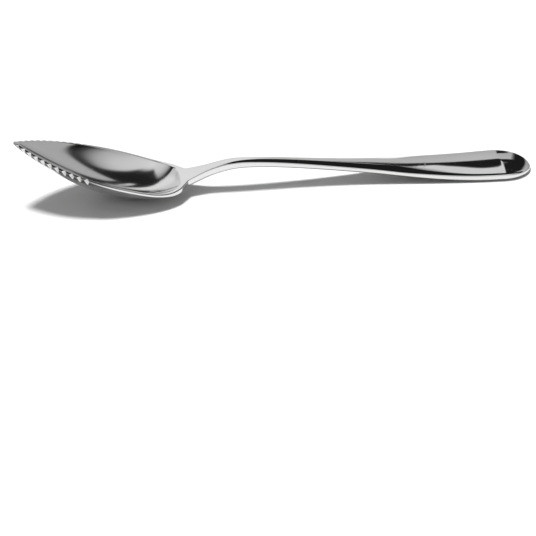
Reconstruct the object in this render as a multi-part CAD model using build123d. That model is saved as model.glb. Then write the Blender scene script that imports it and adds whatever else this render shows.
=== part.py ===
from build123d import *
import os
from math import cos, hypot, radians, sin

# A grapefruit spoon, in millimetres. X runs from the tip of the bowl to the end of the handle, and
# Z is up. The spoon lies as it rests on a table: the bottom of the bowl and the end of the handle
# are on Z = 0, and the origin is below the middle of the length.

SPOON_LENGTH = 160.0

# Bowl, seen from above
BOWL_LENGTH = 51.8
BOWL_WIDTH = 28.2
WIDEST_FROM_TIP = 30.0
NOSE_RADIUS = 1.3
HEEL_FULLNESS = 0.66
HEEL_BLUNTNESS = 0.74
RIM_WIDTH = 1.1
TIP_RIM_WIDTH = 1.7
HEEL_RIM_WIDTH = 1.6

# Bowl, seen from the side
TIP_HEIGHT = 19.75
TIP_SLOPE = -0.44
BEND_BEFORE_HEEL = 11.8
BEND_HEIGHT = 5.4
BEND_SLOPE = -0.31
LOWEST_BEFORE_HEEL = 12.3
KEEL_SLOPE_AT_TIP = -0.75
KEEL_SLOPE_AT_HEEL = 0.75
BOTTOM_WALL = 1.1
EDGE_HEIGHT = 0.6

# Teeth along the front of the rim, on both sides
TOOTH_ROW_LENGTH = 25.4
TOOTH_PITCH = 2.3
NOTCH_WIDTH = 1.5
NOTCH_DEPTH = 1.1

# Handle, seen from above
ROOT_OVERLAP = 5.3
JOINT_AFTER_HEEL = 3.4
ROOT_WIDTH = 10.8
NECK_AFTER_HEEL = 8.7
NECK_WIDTH = 4.2
STEM_AFTER_HEEL = 50.2
STEM_WIDTH = 6.4
STEM_FLARE = 0.075
END_ROUND_LENGTH = 10.0
END_WIDTH = 18.2
END_FULLNESS = 0.58

# Handle, seen from the side
HEEL_HEIGHT = 5.0
HEEL_SLOPE = 0.29
CREST_AFTER_HEEL = 17.2
CREST_HEIGHT = 9.05
STEM_HEIGHT = 5.98
STEM_SLOPE = -0.1
REST_LENGTH = 15.0
ROOT_THICKNESS = 2.2
CREST_THICKNESS = 2.3
STEM_THICKNESS = 2.2
END_THICKNESS = 2.1
TOP_ROUNDING = 0.5
UNDER_ROUNDING = 0.8

# Places along X that both pieces share
TIP_X = -SPOON_LENGTH / 2
WIDEST_X = TIP_X + WIDEST_FROM_TIP
HEEL_X = TIP_X + BOWL_LENGTH
END_X = TIP_X + SPOON_LENGTH

# Where the bowl's slices stand, as shares of the front arc and of the heel curve
FRONT_SHARES = (0, 0.2, 0.45, 0.75)
HEEL_SHARES = (0, 0.2, 0.4, 0.58, 0.76, 0.92)

# How far the working solids run past the finished surfaces
ARC_REACH = radians(75)
BEYOND = 1.5
TALL = 4 * TIP_HEIGHT

# A face counts as upright while its normal rises less than this
UPRIGHT = 0.3


def glide(nodes):
    """Smooth curves through (place, height, slope) nodes, with a straight line where two are level."""
    curves = []
    for (x0, y0, s0), (x1, y1, s1) in zip(nodes, nodes[1:]):
        if y0 == y1 and s0 == s1 == 0:
            curves.append(Line((x0, y0), (x1, y1)))
            continue
        third = (x1 - x0) / 3
        leave = (x0 + third, y0 + third * s0)
        arrive = (x1 - third, y1 - third * s1)
        curves.append(Bezier((x0, y0), leave, arrive, (x1, y1)))
    return curves


def glide_height(nodes, x):
    """Height of those curves at x, carried on straight past either end."""
    first, last = nodes[0], nodes[-1]
    if x <= first[0]:
        return first[1] + first[2] * (x - first[0])
    if x >= last[0]:
        return last[1] + last[2] * (x - last[0])
    (x0, y0, s0), (x1, y1, s1) = next(pair for pair in zip(nodes, nodes[1:]) if x <= pair[1][0])
    run = x1 - x0
    t = (x - x0) / run
    start = (1 - t) ** 2 * ((1 + 2 * t) * y0 + t * run * s0)
    end = t**2 * ((3 - 2 * t) * y1 + (t - 1) * run * s1)
    return start + end


def mirrored_face(half_curves):
    """The face between a half outline that starts and ends on the X axis and its mirror image."""
    half = Curve() + half_curves
    return make_face(half + mirror(half, about=Plane.XZ))


def side_slab(upper, lower):
    """The slab between two side-view lines with the same ends, wider than any part of the spoon."""
    upper_curves = glide(upper)
    lower_curves = glide(lower)
    front = Line(lower_curves[0] @ 0, upper_curves[0] @ 0)
    back = Line(upper_curves[-1] @ 1, lower_curves[-1] @ 1)
    face = make_face(Curve() + upper_curves + lower_curves + [front, back])
    return extrude(Plane.XZ.offset(-BOWL_WIDTH) * face, 2 * BOWL_WIDTH)


def standing(face):
    """A flat outline, raised from below the table to well above the spoon."""
    return extrude(Pos(0, 0, -BEYOND) * face, TALL)


def wall_edges(slab, facing):
    """Edges where the slab's upright long walls meet the broad faces that look one way."""
    long_faces = slab.faces().filter_by(lambda face: face.center().X > HEEL_X)
    walls = [face for face in long_faces if abs(face.normal_at(None).Z) < UPRIGHT]
    broad = [face for face in long_faces if face.normal_at(None).dot(facing) > UPRIGHT]
    around = [edge for face in walls for edge in face.edges()]
    return [edge for face in broad for edge in face.edges() if any(edge.is_same(other) for other in around)]


def leaf_side(nose_x, heel_x, half_width):
    """Half of a leaf outline: round nose, long front arc to the widest place, curve to the heel."""
    reach = WIDEST_X - nose_x - NOSE_RADIUS
    radius = (reach**2 + half_width**2 - NOSE_RADIUS**2) / (2 * (half_width - NOSE_RADIUS))
    rise = radius - half_width
    span = hypot(reach, rise)
    nose_end = (nose_x + NOSE_RADIUS * (1 - reach / span), NOSE_RADIUS * rise / span)
    nose = RadiusArc((nose_x, 0), nose_end, NOSE_RADIUS)
    front = RadiusArc(nose_end, (WIDEST_X, half_width), radius)
    leave = (WIDEST_X + HEEL_FULLNESS * (heel_x - WIDEST_X), half_width)
    arrive = (heel_x, HEEL_BLUNTNESS * half_width)
    heel = Bezier((WIDEST_X, half_width), leave, arrive, (heel_x, 0))
    return nose, front, heel


def arc_section(x, keel_height, radius):
    """A slice across the bowl: what lies above an arc, up to the arc's own chord."""
    half_chord = radius * sin(ARC_REACH)
    chord_height = keel_height + radius * (1 - cos(ARC_REACH))
    left = (-half_chord, chord_height)
    right = (half_chord, chord_height)
    arc = ThreePointArc(left, (0, keel_height), right)
    return Plane.YZ.offset(x) * make_face(Curve() + [arc, Line(right, left)])


def scoop(side, rim_drop, keel):
    """What lies above a dished surface that meets the rim along a leaf's side and dips to its keel."""
    front, heel = side[1:]
    points = [front @ share for share in FRONT_SHARES] + [heel @ share for share in HEEL_SHARES]
    slices = []
    for point in points:
        depth = glide_height(top_line, point.X) - rim_drop - glide_height(keel, point.X)
        slices.append((point.X, (point.Y**2 + depth**2) / (2 * depth)))
    first, last = slices[0], slices[-1]
    slices = [(first[0] - BEYOND, first[1])] + slices + [(last[0] + BEYOND, last[1])]
    return loft([arc_section(x, glide_height(keel, x), radius) for x, radius in slices])


def tooth_notches(side):
    """The gaps between the teeth: a row of notches square to one side of the rim."""
    rim = Wire(side[1:])
    notch = make_face(Polyline((-NOTCH_WIDTH / 2, 0), (0, -NOTCH_DEPTH), (NOTCH_WIDTH / 2, 0), close=True))
    row = []
    for tooth in range(int(TOOTH_ROW_LENGTH / TOOTH_PITCH)):
        along = (tooth + 0.5) * TOOTH_PITCH
        place = rim.position_at(along, position_mode=PositionMode.LENGTH)
        ahead = rim.tangent_at(along, position_mode=PositionMode.LENGTH)
        row.append(Plane(place, x_dir=ahead, z_dir=(0, 0, 1)) * notch)
    return row


# The line of the rim and of the handle's top, seen from the side
bend_x = HEEL_X - BEND_BEFORE_HEEL
crest_x = HEEL_X + CREST_AFTER_HEEL
stem_x = HEEL_X + STEM_AFTER_HEEL
rest_x = END_X - REST_LENGTH
top_line = [
    (TIP_X, TIP_HEIGHT, TIP_SLOPE),
    (bend_x, BEND_HEIGHT, BEND_SLOPE),
    (HEEL_X, HEEL_HEIGHT, HEEL_SLOPE),
    (crest_x, CREST_HEIGHT, 0),
    (stem_x, STEM_HEIGHT, STEM_SLOPE),
    (rest_x, END_THICKNESS, 0),
    (END_X, END_THICKNESS, 0),
]
past_tip_x = TIP_X - BEYOND
past_tip = (past_tip_x, glide_height(top_line, past_tip_x), TIP_SLOPE)
table = [(past_tip_x, -BEYOND, 0), (END_X, -BEYOND, 0)]
below_top = side_slab([past_tip] + top_line, table)

# Bowl: a dished block below the rim line, cut to the toothed leaf outline
lowest_x = HEEL_X - LOWEST_BEFORE_HEEL
hollow_nose_x = TIP_X + TIP_RIM_WIDTH
hollow_heel_x = HEEL_X - HEEL_RIM_WIDTH
outer_side = leaf_side(TIP_X, HEEL_X, BOWL_WIDTH / 2)
inner_side = leaf_side(hollow_nose_x, hollow_heel_x, BOWL_WIDTH / 2 - RIM_WIDTH)
outer_keel = [
    (TIP_X, TIP_HEIGHT - EDGE_HEIGHT, KEEL_SLOPE_AT_TIP),
    (lowest_x, 0, 0),
    (HEEL_X, HEEL_HEIGHT - EDGE_HEIGHT, KEEL_SLOPE_AT_HEEL),
]
inner_keel = [
    (hollow_nose_x, glide_height(top_line, hollow_nose_x), KEEL_SLOPE_AT_TIP),
    (lowest_x, BOTTOM_WALL, 0),
    (hollow_heel_x, glide_height(top_line, hollow_heel_x), KEEL_SLOPE_AT_HEEL),
]
leaf = mirrored_face(outer_side)
notches = tooth_notches(outer_side)
toothed_leaf = leaf - notches - [mirror(notch, about=Plane.XZ) for notch in notches]
hull = scoop(outer_side, EDGE_HEIGHT, outer_keel)
hollow = scoop(inner_side, 0, inner_keel)
cup = standing(toothed_leaf) & hull & below_top

# Neck and handle: one curved slab cut to its outline, with rounded edges
root_x = HEEL_X - ROOT_OVERLAP
neck_x = HEEL_X + NECK_AFTER_HEEL
wide_x = END_X - END_ROUND_LENGTH
root_height = glide_height(top_line, root_x) - ROOT_THICKNESS
underside = [
    (root_x, root_height, 0),
    (crest_x, CREST_HEIGHT - CREST_THICKNESS, 0),
    (stem_x, STEM_HEIGHT - STEM_THICKNESS, STEM_SLOPE),
    (rest_x, 0, 0),
    (END_X, 0, 0),
]
long_side = [
    (root_x, ROOT_WIDTH / 2, 0),
    (neck_x, NECK_WIDTH / 2, 0),
    (stem_x, STEM_WIDTH / 2, STEM_FLARE),
    (wide_x, END_WIDTH / 2, 0),
]
root = Line((root_x, 0), (root_x, ROOT_WIDTH / 2))
leave = (wide_x + END_FULLNESS * END_ROUND_LENGTH, END_WIDTH / 2)
arrive = (END_X, END_FULLNESS * END_WIDTH / 2)
end_round = Bezier((wide_x, END_WIDTH / 2), leave, arrive, (END_X, 0))
outline = mirrored_face([root] + glide(long_side) + [end_round])
below_handle = side_slab(underside, [(root_x, -TALL, 0), (END_X, -TALL, 0)])
strip = standing(outline) & (below_top - below_handle)
strip = fillet(wall_edges(strip, Axis.Z.direction), TOP_ROUNDING)
strip = fillet(wall_edges(strip, -Axis.Z.direction), UNDER_ROUNDING)

# The two pieces meet on a flat face across the neck, and the bowl is hollowed last
joint = Plane.YZ.offset(HEEL_X + JOINT_AFTER_HEEL)
stub = split(strip, bisect_by=joint, keep=Keep.BOTTOM)
handle = split(strip, bisect_by=joint, keep=Keep.TOP)
bowl = cup + stub - hollow

os.makedirs("parts", exist_ok=True)
for name, solid in (("bowl", bowl), ("handle", handle)):
    export_step(solid, f"parts/{name}.step")
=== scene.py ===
from math import atan2, cos, hypot, radians, sin, sqrt

import bmesh
import bpy
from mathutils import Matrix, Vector


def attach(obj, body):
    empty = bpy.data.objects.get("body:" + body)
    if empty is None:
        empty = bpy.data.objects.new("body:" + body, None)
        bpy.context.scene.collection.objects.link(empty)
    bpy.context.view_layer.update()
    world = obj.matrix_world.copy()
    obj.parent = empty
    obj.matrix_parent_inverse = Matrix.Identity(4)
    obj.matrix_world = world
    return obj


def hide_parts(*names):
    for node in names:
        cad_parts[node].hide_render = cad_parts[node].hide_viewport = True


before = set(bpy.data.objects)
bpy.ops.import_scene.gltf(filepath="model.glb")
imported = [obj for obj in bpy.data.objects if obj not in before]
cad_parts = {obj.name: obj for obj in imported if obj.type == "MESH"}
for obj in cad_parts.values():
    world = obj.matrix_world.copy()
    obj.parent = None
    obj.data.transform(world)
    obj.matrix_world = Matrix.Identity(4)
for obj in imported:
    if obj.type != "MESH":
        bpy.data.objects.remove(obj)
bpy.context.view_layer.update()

# A grapefruit spoon, in metres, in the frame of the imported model: X from the tip of the bowl to the
# end of the handle, Z up, with the bottom of the bowl and the end of the handle on Z = 0.

# Bowl outline, seen from above
TIP_X = -0.080
WIDEST_X = -0.050
HEEL_X = -0.0282
BOWL_HALF_WIDTH = 0.0141
NOSE_RADIUS = 0.0013
HEEL_FULLNESS = 0.66
HEEL_BLUNTNESS = 0.74
RIM_WIDTH = 0.0011
TIP_RIM_WIDTH = 0.0017
HEEL_RIM_WIDTH = 0.0016
TOOTHED_RIM_HEIGHT = 0.0005
PLAIN_RIM_HEIGHT = 0.0007
TOOTHED_TO_X = -0.059
PLAIN_FROM_X = -0.048

# Handle outline, seen from above
JOINT_X = -0.0248
NECK_X = -0.0195
NECK_HALF_WIDTH = 0.0021
STEM_X = 0.022
STEM_HALF_WIDTH = 0.0036
STEM_FLARE = 0.105
WIDE_X = 0.070
END_X = 0.080
END_HALF_WIDTH = 0.0091
END_FULLNESS = 0.58
ROOT_X = -0.0335
ROOT_HALF_WIDTH = 0.0054
HANDLE_SIDE = [
    (ROOT_X, ROOT_HALF_WIDTH, 0),
    (NECK_X, NECK_HALF_WIDTH, 0),
    (STEM_X, STEM_HALF_WIDTH, STEM_FLARE),
    (WIDE_X, END_HALF_WIDTH, 0),
]

# The straight ridge across the heel, where the hollow stops, as (rim place, ridge place) pairs
HEEL_RIDGE = [
    ((-0.0294, 0.0063), (-0.0304, 0.0055)),
    ((-0.0289, 0.0057), (-0.0301, 0.0050)),
]

# Side-view lines as (place, height, slope): rim and handle top, underside, floor of the hollow. The bowl is
# lowest at LOWEST_X, and the neck's arch is highest at ARCH_X.
LOWEST_X = -0.0405
ARCH_X = -0.011
TOP_LINE = [
    (TIP_X, 0.01975, -0.44),
    (-0.040, 0.0054, -0.31),
    (HEEL_X, 0.0050, 0.29),
    (ARCH_X, 0.00905, 0),
    (STEM_X, 0.00598, -0.1),
    (0.036, 0.00438, -0.136),
    (0.064, 0.0021, 0),
    (0.0701, 0.00211, 0.002),
    (0.0711, 0.00208, -0.062),
    (END_X, 0.0013, -0.22),
]
KEEL_LINE = [
    (TIP_X, 0.0190, -0.9),
    (LOWEST_X, 0, 0),
    (-0.034, 0.00117, 0.37),
    (-0.0295, 0.00246, 0.19),
    (JOINT_X, 0.003645, 0.294),
    (ARCH_X, 0.00675, 0),
    (STEM_X, 0.00378, -0.1),
    (0.065, 0, 0),
    (END_X, 0, 0),
]
FLOOR_LINE = [
    (TIP_X + TIP_RIM_WIDTH, 0.019, -0.75),
    (LOWEST_X, 0.0011, 0),
    (HEEL_X - HEEL_RIM_WIDTH, 0.0046, 0.75),
]

# Where the bowl's rim turns into the neck's square edge
NECK_STARTS_X = -0.036
NECK_SQUARE_X = -0.027

# Places along the handle where the bevel of its top edge changes
BEVEL_RISE_X = -0.005
BEVEL_GROWS_X = 0.029
BEVEL_BROAD_X = 0.037
BEVEL_SLIMMER_X = 0.0435
BEVEL_SLIM_X = 0.052

# Edges: their roundings, the bevel along the top edge (its width and its drop), the radius of the arch across
# the handle's top, the strip beside the hollow, and how far the handle's flat keeps from its outline
RIM_ROUNDING = 0.00008
TOP_ROUNDING = 0.0001
UNDER_ROUNDING = 0.0005
BEVEL_WIDTH_LINE = [
    (TOOTHED_TO_X, 0.0009, 0),
    (PLAIN_FROM_X, 0.0002, 0),
    (NECK_X, 0.0004, 0),
    (BEVEL_RISE_X, 0.0013, 0.025),
    (STEM_X, 0.0019, 0),
    (BEVEL_GROWS_X, 0.0021, 0.05),
    (BEVEL_BROAD_X, 0.0029, 0),
    (BEVEL_SLIMMER_X, 0.0013, -0.1),
    (BEVEL_SLIM_X, 0.0009, -0.02),
    (WIDE_X, 0.0006, 0),
]
BEVEL_DROP_LINE = [
    (TOOTHED_TO_X, 0.00013, 0),
    (PLAIN_FROM_X, 0.00002, 0),
    (NECK_X, 0.00006, 0),
    (BEVEL_RISE_X, 0.00047, 0.012),
    (STEM_X, 0.0007, 0),
    (BEVEL_BROAD_X, 0.00064, 0),
    (BEVEL_SLIMMER_X, 0.00042, -0.03),
    (BEVEL_SLIM_X, 0.00032, -0.008),
    (WIDE_X, 0.0002, 0),
]
CROWN_LINE = [(NECK_X, 0.05, 0), (BEVEL_RISE_X, 0.06, 0), (STEM_X, 0.15, 0), (WIDE_X, 0.083, 0)]
LAND_EDGE = 0.00012
FLAT_INSET_LINE = [
    (NECK_X, 0.0014, 0),
    (0.01, 0.0021, 0),
    (BEVEL_BROAD_X, 0.0032, 0),
    (WIDE_X, 0.0014, 0),
]

# Teeth
TOOTH_COUNT = 11
TOOTH_PITCH = 0.0023
NOTCH_WIDTH = 0.0015
NOTCH_DEPTH = 0.0011
NOTCH_HEIGHT = 0.006
FIRST_NOTCH_SHARE = 0.6

# Where the mesh has its rings along the spoon and its rows across it, how far round the arcs of the hollow
# and of the hull reach, and how the mesh is smoothed and joined
NOSE_SHARES = (0, 0.55)
FRONT_SHARES = (0, 0.07, 0.15, 0.24, 0.34, 0.45, 0.56, 0.67, 0.78, 0.89)
HEEL_SHARES = (0, 0.13, 0.26, 0.38, 0.49, 0.59, 0.67, 0.735)
HANDLE_PLACES = (-0.0283, -0.0272, -0.026, -0.0242, -0.0215, -0.018, -0.0145, -0.011, -0.006, 0.001,
                 0.011, 0.022, 0.029, 0.0335, 0.037, 0.0405, 0.044, 0.051, 0.059, 0.0648, 0.0688)
END_SHARES = (0, 0.03, 0.06, 0.1, 0.15, 0.23, 0.33, 0.47, 0.63, 0.77, 0.89, 1)
DISH_SHARES = (0, 0.17, 0.34, 0.51, 0.67, 0.81, 0.92, 0.975, 1)
HULL_SHARES = (0.96, 0.86, 0.72, 0.56, 0.38, 0.19, 0)
DISH_REACH = radians(48)
HULL_REACH = radians(66)
SMOOTHING_LEVELS = 3
MERGE_DISTANCE = 0.000001
SHARP_EDGE = radians(35)

# Steel finish: the smudges, with the roughness and the tints that they range over
SMUDGE_SCALE = 90
SMUDGE_DETAIL = 5
SMUDGE_RANGE = (0.35, 0.7)
GLOSS_RANGE = (0.025, 0.05)
DARK_TINT = (0.66, 0.66, 0.66, 1)
PALE_TINT = (0.74, 0.74, 0.735, 1)

# Lengthwise polishing lines, and hair scratches that follow the middle level of a slow noise
POLISH_STRETCH = (60, 5000, 5000)
POLISH_DETAIL = 3
POLISH_STRENGTH = 0.1
POLISH_DEPTH = 0.000002
SCRATCH_SCALE = 55
SCRATCH_DETAIL = 1
SCRATCH_WANDER = 0.6
SCRATCH_SHARE = 0.003
SCRATCH_DULLNESS = 0.12
NOISE_MIDDLE = 0.5

# Gaps between the teeth, which are upright faces turned away from the outline: satin, with a painted
# highlight that brightens their colour.
# The outer edge under the teeth is rougher and carries painted shade, its colour darkened like a dark
# reflection; it fades out under the teeth and along the rim. The hollow, slightly duller than the rest.
TOOTHED_UNTIL_X = -0.0555
UPRIGHT_TILT = 0.12
GAP_FACING = 0.85
# Painted highlight: the gaps' colour is brightened by this share, so they read as glints
PAINTED_GAP_HIGHLIGHT = 0.2
EDGE_DEPTHS = (0.0011, 0.002)
EDGE_ENDS = (-0.060, -0.053)
# Painted shade: the edge's colour is darkened by this share, to about a sixth
PAINTED_EDGE_SHADE = -0.84
GROUND_DULLNESS = 0.35
HOLLOW_DEPTHS = (0.0002, 0.002)
HOLLOW_DULLNESS = 0.1

# Floor
FLOOR_SIZE = 6
FLOOR_HEIGHT = -0.00005
FLOOR_COLOUR = (0.55, 0.55, 0.55, 1)
FLOOR_ROUGHNESS = 0.7

# Lamp and camera, with the lens and its sensor in millimetres
LAMP_PLACE = (-0.5, 0.85, 3.3)
LAMP_SIZE = 0.85
LAMP_POWER = 220
LAMP_TARGET = (0, 0, 0)
CAMERA_PLACE = (-0.082091, -0.529337, 0.271598)
CAMERA_TARGET = (-0.004827, -0.012351, -0.022945)
LENS_LENGTH = 130.45
SENSOR_WIDTH = 36
NEAREST_SIGHT = 0.01

# Studio: levels of light of the walls, a dark card, the panels and the ceiling, as (position, level) stops.
# A plain row runs along each half turn from one end of the X axis to the other. A row named EDGE runs across
# a leaning edge, and a row named BELT by height, the sine of the angle above the floor.
HALF_TURN_START = 2.5
WALL_LEAN = 0.53
PANEL_LEAN = 0.253
CARD_LEAN = 1.45
PALE_WALL = [
    (0, 0.5),
    (0.22, 0.55),
    (0.33, 0.75),
    (0.38, 0.95),
    (0.55, 0.95),
    (0.578, 0.66),
    (0.615, 0.62),
    (0.618, 0),
    (1, 0),
]
PALE_WALL_EDGE = [(0, 1), (0.3636, 1), (0.3676, 0), (1, 0)]
WALL_BELT = [(0, 0.8), (0.25, 0.8), (0.42, 1), (0.62, 1), (0.65, 0), (1, 0)]
GREY_WALL = [(0, 0), (0.645, 0), (0.655, 0.53), (1, 0.5)]
CARD = [(0, 0), (0.595, 0), (0.597, 1), (0.605, 1), (0.608, 0), (1, 0)]
CARD_EDGE = [(0, 0), (0.4, 0), (0.41, 1), (0.474, 1), (0.484, 0), (1, 0)]
PANEL = [(0, 1), (0.6075, 1), (0.6105, 0), (1, 0)]
PANEL_EDGE = [(0, 0), (0.2692, 0), (0.272, 1), (1, 1)]
PANEL_BELT = [(0, 0), (0.419, 0), (0.427, 0.82), (0.63, 0.82), (0.65, 0), (1, 0)]
CEILING = [(0, 1), (0.42, 1), (0.45, 0), (0.8, 0), (0.84, 1), (1, 1)]
CEILING_BELT = [
    (0, 0),
    (0.68, 0),
    (0.72, 0.06),
    (0.8, 0.5),
    (0.9, 0.75),
    (0.955, 0.8),
    (0.985, 0),
    (1, 0),
]
ZENITH_BELT = [(0, 0.015), (0.955, 0.015), (0.985, 0.85), (1, 0.9)]


def deselect_everything():
    bpy.ops.object.select_all(action="DESELECT")


def line_height(nodes, x):
    """Height at x of the smooth line through (place, height, slope) nodes, straight past its ends."""
    first, last = nodes[0], nodes[-1]
    if x <= first[0]:
        return first[1] + first[2] * (x - first[0])
    if x >= last[0]:
        return last[1] + last[2] * (x - last[0])
    (x0, y0, s0), (x1, y1, s1) = next(pair for pair in zip(nodes, nodes[1:]) if x <= pair[1][0])
    run = x1 - x0
    t = (x - x0) / run
    start = (1 - t) ** 2 * ((1 + 2 * t) * y0 + t * run * s0)
    end = t**2 * ((3 - 2 * t) * y1 + (t - 1) * run * s1)
    return start + end


def curve_point(share, first, leave, arrive, last):
    """A point on the curve that leaves first towards leave and comes to last from arrive."""
    rest = 1 - share
    weights = (rest**3, 3 * rest**2 * share, 3 * rest * share**2, share**3)
    points = (first, leave, arrive, last)
    return tuple(sum(w * p[axis] for w, p in zip(weights, points)) for axis in (0, 1))


def blend(a, b, share):
    return a + (b - a) * share


def soft_step(x, start, end):
    """0 before start, 1 after end, with an easy rise between."""
    t = min(max((x - start) / (end - start), 0), 1)
    return t * t * (3 - 2 * t)


def front_arc(nose_x, half_width):
    """Radius of a leaf's front arc, and its angle from the nose to the widest place."""
    reach = WIDEST_X - nose_x - NOSE_RADIUS
    radius = (reach**2 + half_width**2 - NOSE_RADIUS**2) / (2 * (half_width - NOSE_RADIUS))
    return radius, atan2(reach, radius - half_width)


def front_point(nose_x, half_width, share):
    """A point on a leaf's front arc."""
    radius, turn = front_arc(nose_x, half_width)
    angle = turn * (1 - share)
    return WIDEST_X - radius * sin(angle), half_width - radius * (1 - cos(angle))


def leaf_points(nose_x, heel_x, half_width):
    """Half of a leaf outline, from its nose round to where it runs into the neck."""
    turn = front_arc(nose_x, half_width)[1]
    points = []
    for share in NOSE_SHARES:
        angle = share * (radians(90) - turn)
        points.append((nose_x + NOSE_RADIUS * (1 - cos(angle)), NOSE_RADIUS * sin(angle)))
    points += [front_point(nose_x, half_width, share) for share in FRONT_SHARES]
    widest = (WIDEST_X, half_width)
    leave = (blend(WIDEST_X, heel_x, HEEL_FULLNESS), half_width)
    arrive = (heel_x, HEEL_BLUNTNESS * half_width)
    points += [curve_point(share, widest, leave, arrive, (heel_x, 0)) for share in HEEL_SHARES]
    return points


def handle_points():
    """Half of the handle's outline, from the neck round to the middle of the end."""
    points = [(x, line_height(HANDLE_SIDE, x)) for x in HANDLE_PLACES]
    widest = (WIDE_X, END_HALF_WIDTH)
    leave = (blend(WIDE_X, END_X, END_FULLNESS), END_HALF_WIDTH)
    arrive = (END_X, END_FULLNESS * END_HALF_WIDTH)
    points += [curve_point(share, widest, leave, arrive, (END_X, 0)) for share in END_SHARES]
    return points


def inset_points(points):
    """The handle outline's points moved square to it, inwards."""
    moved = []
    for here, before, after in zip(points, points[:1] + points, points[1:] + [None]):
        if after is None:
            after = (before[0], -before[1])
        along = (after[0] - before[0], after[1] - before[1])
        length = hypot(*along)
        distance = line_height(FLAT_INSET_LINE, here[0])
        moved.append((here[0] + distance * along[1] / length, here[1] - distance * along[0] / length))
    return moved


def handle_half_width(x):
    if x <= WIDE_X:
        return line_height(HANDLE_SIDE, x)
    reach = min((x - WIDE_X) / (END_X - WIDE_X), 1)
    return END_HALF_WIDTH * sqrt(1 - reach**2)


def top_height(x, y):
    """Height of the rim, or of the handle's top, which arches up from its edges."""
    arch = soft_step(x, NECK_SQUARE_X, NECK_X)
    rise = (handle_half_width(x) ** 2 - y**2) / (2 * line_height(CROWN_LINE, x))
    return line_height(TOP_LINE, x) + arch * rise


def ring_points(outer, inner, hollow):
    """One half ring: across the top from middle to edge, down the side, and back underneath."""
    square = soft_step(outer[0], NECK_STARTS_X, NECK_SQUARE_X)
    top_round = blend(RIM_ROUNDING, TOP_ROUNDING, square)
    under_round = blend(RIM_ROUNDING, UNDER_ROUNDING, square)
    bevel_width = line_height(BEVEL_WIDTH_LINE, outer[0])
    bevel_drop = line_height(BEVEL_DROP_LINE, outer[0])
    plain = soft_step(outer[0], TOOTHED_TO_X, PLAIN_FROM_X)
    rim_height = blend(TOOTHED_RIM_HEIGHT, PLAIN_RIM_HEIGHT, plain)
    edge = top_height(inner[0], inner[1])
    if hollow:
        middle = line_height(FLOOR_LINE, inner[0])
    else:
        middle = top_height(inner[0], 0)
    points = arc_points(inner, edge, middle, DISH_SHARES, DISH_REACH)
    land = hypot(outer[0] - inner[0], outer[1] - inner[1])
    for share, drop in (
        (LAND_EDGE / land, 0),
        (1 - bevel_width / land, 0),
        (1 - top_round / land, bevel_drop),
    ):
        x = blend(inner[0], outer[0], share)
        y = blend(inner[1], outer[1], share)
        points.append((x, y, top_height(x, y) - drop))
    top = top_height(outer[0], outer[1])
    keel = line_height(KEEL_LINE, outer[0])
    bottom = blend(top - rim_height, keel, square)
    points.append((outer[0], outer[1], top - bevel_drop - top_round))
    points.append((outer[0], outer[1], bottom + under_round))
    share = 1 - under_round / land
    under = (blend(inner[0], outer[0], share), blend(inner[1], outer[1], share))
    points.append((under[0], under[1], bottom))
    keel_under = line_height(KEEL_LINE, under[0])
    reach = blend(HULL_REACH, DISH_REACH, square)
    points += arc_points(under, bottom, keel_under, HULL_SHARES, reach)
    return points


def arc_points(side, edge, middle, shares, reach):
    """Points on an arc across the spoon, as shares of the way from its middle to its side."""
    points = []
    for share in shares:
        angle = share * reach
        y = side[1] * sin(angle) / sin(reach)
        fall = (cos(angle) - cos(reach)) / (1 - cos(reach))
        points.append((side[0], y, blend(edge, middle, fall)))
    return points


def spoon_rings():
    """The half rings of the whole spoon, from the tip to the end."""
    outer_leaf = leaf_points(TIP_X, HEEL_X, BOWL_HALF_WIDTH)
    inner_leaf = leaf_points(
        TIP_X + TIP_RIM_WIDTH,
        HEEL_X - HEEL_RIM_WIDTH,
        BOWL_HALF_WIDTH - RIM_WIDTH,
    )
    outer_handle = handle_points()
    inner_handle = inset_points(outer_handle)
    rings = [ring_points(outer, inner, True) for outer, inner in zip(outer_leaf, inner_leaf)]
    rings += [ring_points(outer, inner, False) for outer, inner in HEEL_RIDGE]
    rings += [ring_points(outer, inner, False) for outer, inner in zip(outer_handle, inner_handle)]
    return rings


def whole_spoon():
    """The spoon in one smooth form: a grid moved point by point into half a spoon, then mirrored."""
    rings = spoon_rings()
    rows = len(rings[0])
    deselect_everything()
    bpy.ops.mesh.primitive_grid_add(
        x_subdivisions=len(rings) - 1,
        y_subdivisions=rows - 1,
        size=2 * END_X,
    )
    spoon = bpy.context.object
    bpy.ops.object.mode_set(mode="EDIT")
    bpy.ops.mesh.select_all(action="DESELECT")
    form = bmesh.from_edit_mesh(spoon.data)
    form.verts.ensure_lookup_table()
    for column, ring in enumerate(rings):
        for row, place in enumerate(ring):
            vertex = form.verts[row * len(rings) + column]
            vertex.select = True
            bpy.ops.transform.translate(value=Vector(place) - vertex.co)
            vertex.select = False
    bpy.ops.object.mode_set(mode="OBJECT")
    mirror = spoon.modifiers.new("other_half", "MIRROR")
    mirror.use_axis = (False, True, False)
    mirror.merge_threshold = MERGE_DISTANCE
    bpy.ops.object.modifier_apply(modifier=mirror.name)
    bpy.ops.object.mode_set(mode="EDIT")
    bpy.ops.mesh.select_all(action="SELECT")
    bpy.ops.mesh.remove_doubles(threshold=MERGE_DISTANCE)
    bpy.ops.mesh.normals_make_consistent(inside=False)
    bpy.ops.object.mode_set(mode="OBJECT")
    smoothing = spoon.modifiers.new("smooth", "SUBSURF")
    smoothing.levels = SMOOTHING_LEVELS
    smoothing.render_levels = SMOOTHING_LEVELS
    bpy.ops.object.modifier_apply(modifier=smoothing.name)
    return spoon


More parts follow.
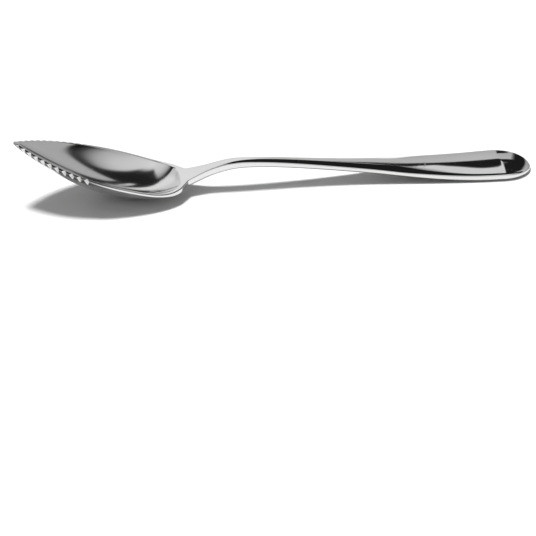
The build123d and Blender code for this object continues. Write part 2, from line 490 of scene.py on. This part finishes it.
def tooth_notch(depth):
    """One three-sided notch, with its point inwards by its depth and its base outside the rim."""
    deselect_everything()
    bpy.ops.mesh.primitive_cone_add(vertices=3, radius1=1, radius2=1, depth=NOTCH_HEIGHT)
    notch = bpy.context.object
    bpy.ops.object.mode_set(mode="EDIT")
    bpy.ops.mesh.select_all(action="SELECT")
    corners = [vertex.co for vertex in notch.data.vertices]
    front = max(corner.y for corner in corners)
    back = min(corner.y for corner in corners)
    wide = max(corner.x for corner in corners)
    bpy.ops.transform.translate(value=(0, -front, 0))
    grow = (NOTCH_WIDTH / wide, -2 * depth / (front - back), 1)
    bpy.ops.transform.resize(value=grow, center_override=(0, 0, 0))
    bpy.ops.transform.translate(value=(0, -depth, 0))
    bpy.ops.mesh.normals_make_consistent(inside=False)
    bpy.ops.object.mode_set(mode="OBJECT")
    return notch


def tooth_cutter():
    """The gaps between the teeth: notches along the front of the rim, on both sides."""
    radius, turn = front_arc(TIP_X, BOWL_HALF_WIDTH)
    notches = []
    for tooth in range(TOOTH_COUNT):
        share = (tooth + 0.5) * TOOTH_PITCH / (radius * turn)
        x, y = front_point(TIP_X, BOWL_HALF_WIDTH, share)
        lean = turn * (1 - share)
        depth = NOTCH_DEPTH * (FIRST_NOTCH_SHARE if tooth == 0 else 1)
        for side in (1, -1):
            notch = tooth_notch(depth)
            notch.location = (x, side * y, line_height(TOP_LINE, x))
            notch.rotation_euler = (0, 0, lean if side > 0 else radians(180) - lean)
            notches.append(notch)
    deselect_everything()
    for notch in notches:
        notch.select_set(True)
    bpy.context.view_layer.objects.active = notches[0]
    bpy.ops.object.join()
    return bpy.context.object


def cut_teeth(spoon):
    cutter = tooth_cutter()
    deselect_everything()
    spoon.select_set(True)
    bpy.context.view_layer.objects.active = spoon
    teeth = spoon.modifiers.new("teeth", "BOOLEAN")
    teeth.operation = "DIFFERENCE"
    teeth.solver = "EXACT"
    teeth.object = cutter
    bpy.ops.object.modifier_apply(modifier=teeth.name)
    bpy.data.objects.remove(cutter)


def mark_finishes_and_painted_light(spoon):
    """Mark on the mesh the gaps between the teeth (satin, with a painted highlight), the edge under them
    (rougher, with painted shade), and the hollow.
    """
    # The gaps get a satin finish and a painted highlight
    gap = spoon.data.attributes.new("gap", "FLOAT", "FACE")
    arc_middle = BOWL_HALF_WIDTH - front_arc(TIP_X, BOWL_HALF_WIDTH)[0]
    for face in spoon.data.polygons:
        x = face.center.x
        y = face.center.y
        side = 1 if y > 0 else -1
        outward = Vector((x - WIDEST_X, y - side * arc_middle, 0)).normalized()
        upright = abs(face.normal.z) < UPRIGHT_TILT
        toothed = TIP_X + NOSE_RADIUS < x < TOOTHED_UNTIL_X
        turned = face.normal.dot(outward) < GAP_FACING
        gap.data[face.index].value = float(upright and toothed and turned)
    # Where the outer edge gets painted shade, fading out below the rim and towards the rear of the toothed
    # part
    edge = spoon.data.attributes.new("edge", "FLOAT", "POINT")
    hollow = spoon.data.attributes.new("hollow", "FLOAT", "POINT")
    for vertex in spoon.data.vertices:
        x = vertex.co.x
        depth = line_height(TOP_LINE, x) - vertex.co.z
        inside = vertex.normal.z > 0 and x < HEEL_X - HEEL_RIM_WIDTH
        hollow.data[vertex.index].value = inside * soft_step(depth, *HOLLOW_DEPTHS)
        outside = vertex.normal.z < UPRIGHT_TILT
        fade = soft_step(depth, *EDGE_DEPTHS) + soft_step(x, *EDGE_ENDS)
        edge.data[vertex.index].value = outside * max(1 - fade, 0)


def keep_one_end(spoon, name, towards_tip):
    """A copy of the spoon, cut square across the neck and closed there."""
    deselect_everything()
    spoon.select_set(True)
    bpy.context.view_layer.objects.active = spoon
    bpy.ops.object.duplicate()
    piece = bpy.context.object
    piece.name = name
    piece.data.name = name
    bpy.ops.object.mode_set(mode="EDIT")
    bpy.ops.mesh.select_all(action="SELECT")
    bpy.ops.mesh.bisect(
        plane_co=(JOINT_X, 0, 0),
        plane_no=(1, 0, 0),
        use_fill=True,
        clear_inner=not towards_tip,
        clear_outer=towards_tip,
    )
    bpy.ops.mesh.select_all(action="SELECT")
    bpy.ops.mesh.normals_make_consistent(inside=False)
    bpy.ops.object.mode_set(mode="OBJECT")
    bpy.ops.object.shade_smooth_by_angle(angle=SHARP_EDGE)
    return piece


def reckon(tree, operation, first, second=0):
    """The result of one sum on two values, each a plain number or another node's result."""
    node = tree.nodes.new("ShaderNodeMath")
    node.operation = operation
    for socket, value in zip(node.inputs, (first, second)):
        if isinstance(value, (int, float)):
            socket.default_value = value
        else:
            tree.links.new(value, socket)
    return node.outputs[0]


def add_share(tree, start, value, factor):
    """A value's share, by a factor, added to a start."""
    return reckon(tree, "ADD", start, reckon(tree, "MULTIPLY", value, factor))


def add_node(tree, kind, **values):
    """A node of a material, with its sockets set by name."""
    node = tree.nodes.new("ShaderNode" + kind)
    for socket, value in values.items():
        node.inputs[socket.replace("_", " ")].default_value = value
    return node


def noise(tree, place, **values):
    """The level of a noise read at a place."""
    node = add_node(tree, "TexNoise", **values)
    tree.links.new(place, node.inputs["Vector"])
    return node.outputs["Fac"]


def polishing_lines(tree, place):
    """Fine lengthwise lines, as a slight bump."""
    stretch = add_node(tree, "Mapping", Scale=POLISH_STRETCH)
    tree.links.new(place, stretch.inputs["Vector"])
    lines = noise(tree, stretch.outputs["Vector"], Scale=1, Detail=POLISH_DETAIL)
    polish = add_node(tree, "Bump", Strength=POLISH_STRENGTH, Distance=POLISH_DEPTH)
    tree.links.new(lines, polish.inputs["Height"])
    return polish.outputs["Normal"]


def hair_scratches(tree, place, smudges):
    """Thin wandering lines, broken where there are few smudges."""
    wander = noise(tree, place, Scale=SCRATCH_SCALE, Detail=SCRATCH_DETAIL, Distortion=SCRATCH_WANDER)
    nearness = reckon(tree, "ABSOLUTE", reckon(tree, "SUBTRACT", wander, NOISE_MIDDLE))
    hair = reckon(tree, "LESS_THAN", nearness, SCRATCH_SHARE)
    breaks = reckon(tree, "GREATER_THAN", smudges, NOISE_MIDDLE)
    return reckon(tree, "MULTIPLY", hair, breaks)


def mark_on_mesh(tree, name):
    """A mark of the mesh, read by its name."""
    reader = tree.nodes.new("ShaderNodeAttribute")
    reader.attribute_name = name
    return reader.outputs["Fac"]


def polished_steel():
    """Mirror-polished stainless steel, with ground teeth whose gaps carry a painted highlight, painted shade
    along the edge under them, and a slightly duller hollow.
    """
    steel = bpy.data.materials.new("polished_steel")
    steel.use_nodes = True
    tree = steel.node_tree
    links = tree.links
    shader = tree.nodes["Principled BSDF"]
    shader.inputs["Metallic"].default_value = 1.0
    place = tree.nodes.new("ShaderNodeTexCoord").outputs["Object"]
    smudges = noise(tree, place, Scale=SMUDGE_SCALE, Detail=SMUDGE_DETAIL)
    links.new(polishing_lines(tree, place), shader.inputs["Normal"])

    gap = mark_on_mesh(tree, "gap")
    # The edge, less the gaps: painted shade in the colour, and extra roughness
    edge = reckon(tree, "MAXIMUM", reckon(tree, "SUBTRACT", mark_on_mesh(tree, "edge"), gap))
    gloss = add_node(
        tree,
        "MapRange",
        From_Min=SMUDGE_RANGE[0],
        From_Max=SMUDGE_RANGE[1],
        To_Min=GLOSS_RANGE[0],
        To_Max=GLOSS_RANGE[1],
    )
    links.new(smudges, gloss.inputs["Value"])
    rough = add_share(tree, gloss.outputs["Result"], hair_scratches(tree, place, smudges), SCRATCH_DULLNESS)
    rough = add_share(tree, rough, gap, GROUND_DULLNESS)
    rough = add_share(tree, rough, edge, GROUND_DULLNESS)
    rough = add_share(tree, rough, mark_on_mesh(tree, "hollow"), HOLLOW_DULLNESS)
    links.new(rough, shader.inputs["Roughness"])

    tint = tree.nodes.new("ShaderNodeValToRGB")
    tint.color_ramp.elements[0].color = DARK_TINT
    tint.color_ramp.elements[1].color = PALE_TINT
    links.new(smudges, tint.inputs["Fac"])
    shade = tree.nodes.new("ShaderNodeHueSaturation")
    links.new(tint.outputs["Color"], shade.inputs["Color"])
    # Painted light in the colour: a painted highlight on the gaps, painted shade along the edge under the
    # teeth
    links.new(add_share(tree, add_share(tree, 1, gap, PAINTED_GAP_HIGHLIGHT), edge, PAINTED_EDGE_SHADE), shade.inputs["Value"])
    links.new(shade.outputs["Color"], shader.inputs["Base Color"])
    return steel


def pale_floor():
    deselect_everything()
    bpy.ops.mesh.primitive_plane_add(size=FLOOR_SIZE, location=(0, 0, FLOOR_HEIGHT))
    floor = bpy.context.object
    floor.name = "floor"
    paint = bpy.data.materials.new("floor_white")
    paint.use_nodes = True
    shader = paint.node_tree.nodes["Principled BSDF"]
    shader.inputs["Base Color"].default_value = FLOOR_COLOUR
    shader.inputs["Roughness"].default_value = FLOOR_ROUGHNESS
    floor.data.materials.append(paint)


def ramp(tree, stops):
    """A colour ramp that runs straight from one (position, level) stop to the next."""
    node = tree.nodes.new("ShaderNodeValToRGB")
    elements = node.color_ramp.elements
    positions = [stop[0] for stop in stops]
    levels = [stop[1] for stop in stops]
    elements[0].position = positions[0]
    elements[1].position = positions[-1]
    for position in positions[1:-1]:
        elements.new(position)
    for element, level in zip(elements, levels):
        element.color = (level, level, level, 1)
    return node


def lit(tree, *bands):
    """The light where bands cross, each a place along a row of stops."""
    light = 1
    for place, stops in bands:
        band = ramp(tree, stops)
        tree.links.new(place, band.inputs["Fac"])
        light = reckon(tree, "MULTIPLY", band.outputs["Color"], light)
    return light


def point_at(item, place, target):
    """Stand a lamp or a camera at a place and turn it to a target."""
    item.location = place
    item.rotation_mode = "QUATERNION"
    item.rotation_quaternion = (Vector(target) - Vector(place)).to_track_quat("-Z", "Y")


def studio():
    """Soft studio light: walls with dark flags between them, tall panels, light overhead, and a lamp."""
    world = bpy.data.worlds.new("studio")
    bpy.context.scene.world = world
    world.use_nodes = True
    tree = world.node_tree
    direction = tree.nodes.new("ShaderNodeTexCoord")
    parts = tree.nodes.new("ShaderNodeSeparateXYZ")
    tree.links.new(direction.outputs["Generated"], parts.inputs["Vector"])
    rise = parts.outputs["Z"]
    bearing = reckon(tree, "ARCTAN2", parts.outputs["X"], parts.outputs["Y"])
    turn = reckon(tree, "DIVIDE", bearing, radians(180))
    along = reckon(tree, "FRACT", reckon(tree, "ADD", turn, HALF_TURN_START))
    aside = reckon(tree, "SUBTRACT", reckon(tree, "MULTIPLY", along, 2), 1)
    height = reckon(tree, "DIVIDE", reckon(tree, "ARCSINE", rise), radians(90))
    wall_edge = add_share(tree, height, aside, WALL_LEAN)
    panel_edge = add_share(tree, aside, height, PANEL_LEAN)
    card_edge = add_share(tree, height, aside, CARD_LEAN)
    pale = lit(tree, (along, PALE_WALL), (wall_edge, PALE_WALL_EDGE), (rise, WALL_BELT))
    card = lit(tree, (along, CARD), (card_edge, CARD_EDGE))
    pale = reckon(tree, "MULTIPLY", pale, reckon(tree, "SUBTRACT", 1, card))
    grey = lit(tree, (along, GREY_WALL), (rise, WALL_BELT))
    panels = lit(tree, (along, PANEL), (panel_edge, PANEL_EDGE), (rise, PANEL_BELT))
    ceiling = lit(tree, (along, CEILING), (rise, CEILING_BELT))
    light = lit(tree, (rise, ZENITH_BELT))
    for part in (pale, grey, panels, ceiling):
        light = reckon(tree, "ADD", light, part)
    tree.links.new(light, tree.nodes["Background"].inputs["Color"])
    lamp = bpy.data.lights.new("overhead", "AREA")
    lamp.shape = "DISK"
    lamp.size = LAMP_SIZE
    lamp.energy = LAMP_POWER
    overhead = bpy.data.objects.new("overhead", lamp)
    overhead.visible_glossy = False
    bpy.context.scene.collection.objects.link(overhead)
    point_at(overhead, LAMP_PLACE, LAMP_TARGET)


def photo_camera():
    """The camera of the photograph, found by fitting the spoon's outline."""
    lens = bpy.data.cameras.new("camera")
    lens.sensor_width = SENSOR_WIDTH
    lens.lens = LENS_LENGTH
    lens.clip_start = NEAREST_SIGHT
    camera = bpy.data.objects.new("camera", lens)
    bpy.context.scene.collection.objects.link(camera)
    point_at(camera, CAMERA_PLACE, CAMERA_TARGET)
    bpy.context.scene.camera = camera


spoon = whole_spoon()
cut_teeth(spoon)
mark_finishes_and_painted_light(spoon)
steel = polished_steel()
for name, towards_tip in (("bowl_polished", True), ("handle_polished", False)):
    piece = keep_one_end(spoon, name, towards_tip)
    piece.data.materials.clear()
    piece.data.materials.append(steel)
    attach(piece, "root")
    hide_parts(name.split("_")[0])
bpy.data.objects.remove(spoon)
pale_floor()
studio()
photo_camera()
bpy.context.scene.view_settings.view_transform = "Standard"
